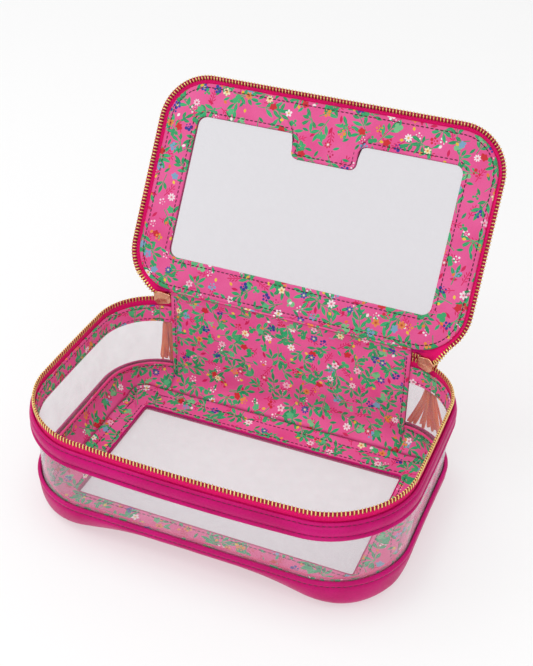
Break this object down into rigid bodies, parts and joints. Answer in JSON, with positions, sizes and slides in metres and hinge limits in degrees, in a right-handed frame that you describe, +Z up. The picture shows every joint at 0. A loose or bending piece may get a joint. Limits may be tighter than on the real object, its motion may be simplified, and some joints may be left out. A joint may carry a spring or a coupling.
{
  "type": "makeup train case",
  "caption": "Clear-sided zip-around makeup case with leather bands, floral lining, a windowed lid on a leather spine, and tasselled zip sliders.",
  "frame": {"origin": "middle of the underside of the bounding box with the lid open, on the surface that the case stands on", "axes": "+X along the length of the case, +Y towards the spine and the hinge, +Z up"},
  "size_m": [0.2656, 0.2578, 0.2258],
  "materials": {
    "leather": "magenta, softly polished grain",
    "floral_lining": "pink coated leather cloth with a small floral print",
    "clear_vinyl": "clear, flexible and glossy",
    "zip_tape": "woven herringbone tape",
    "zip_teeth": "polished gold",
    "rose_gold": "polished rose gold plate",
    "tassel_leather": "tan leather strips with cut edges"
  },
  "bodies": {
    "case": {"sole_leather": "leather", "sole_edge_binding": "leather", "upper_leather_band": "leather", "spine_leather": "leather", "hinge_leather": "leather", "floor_lining": "floral_lining", "lower_side_lining": "floral_lining", "lower_lining_piping": "floral_lining", "upper_band_lining": "floral_lining", "spine_lining": "floral_lining", "spine_binding_left": "floral_lining", "spine_binding_right": "floral_lining", "floor_window": "clear_vinyl", "clear_side_wall": "clear_vinyl", "rim_zip_tape": "zip_tape", "closed_zip_tape_left": "zip_tape", "closed_zip_tape_right": "zip_tape", "rim_zip_teeth": "zip_teeth", "closed_zip_teeth_left": "zip_teeth", "closed_zip_teeth_right": "zip_teeth"},
    "lid": {"lid_leather_frame": "leather", "lid_lining": "floral_lining", "lid_window": "clear_vinyl", "lid_zip_tape": "zip_tape", "lid_zip_teeth": "zip_teeth"},
    "slider_left": {"slider_left": "rose_gold"},
    "pull_left": {"pull_link_left": "rose_gold"},
    "tassel_left": {"tassel_eye_left": "rose_gold", "tassel_cap_left": "tassel_leather", "tassel_fringe_left": "tassel_leather"},
    "slider_right": {"slider_right": "rose_gold"},
    "pull_right": {"pull_link_right": "rose_gold"},
    "tassel_right": {"tassel_eye_right": "rose_gold", "tassel_cap_right": "tassel_leather", "tassel_fringe_right": "tassel_leather"}
  },
  "joints": [
    {"name": "lid_hinge", "type": "hinge", "parent": "case", "child": "lid", "pos_m": [0, 0.04169, 0.092], "axis": [1, 0, 0], "range_deg": [0, 123]},
    {"name": "slider_left_travel", "type": "hinge", "parent": "case", "child": "slider_left", "pos_m": [-0.09, 0.00769, 0.0835], "axis": [0, 0, 1], "range_deg": [0, 34]},
    {"name": "pull_left_swing", "type": "hinge", "parent": "slider_left", "child": "pull_left", "pos_m": [-0.09992, 0.05281, 0.0835], "axis": [0.9767, 0.2147, 0], "range_deg": [0, 100]},
    {"name": "tassel_left_swing", "type": "hinge", "parent": "pull_left", "child": "tassel_left", "pos_m": [-0.09992, 0.05281, 0.0762], "axis": [-0.2147, 0.9767, 0], "range_deg": [-30, 30]},
    {"name": "slider_right_travel", "type": "hinge", "parent": "case", "child": "slider_right", "pos_m": [0.09, 0.00769, 0.0835], "axis": [0, 0, -1], "range_deg": [0, 27]},
    {"name": "pull_right_swing", "type": "hinge", "parent": "slider_right", "child": "pull_right", "pos_m": [0.10573, 0.05113, 0.0835], "axis": [0.9403, -0.3404, 0], "range_deg": [0, 100]},
    {"name": "tassel_right_swing", "type": "hinge", "parent": "pull_right", "child": "tassel_right", "pos_m": [0.10573, 0.05113, 0.0762], "axis": [0.3404, 0.9403, 0], "range_deg": [-30, 30]}
  ]
}
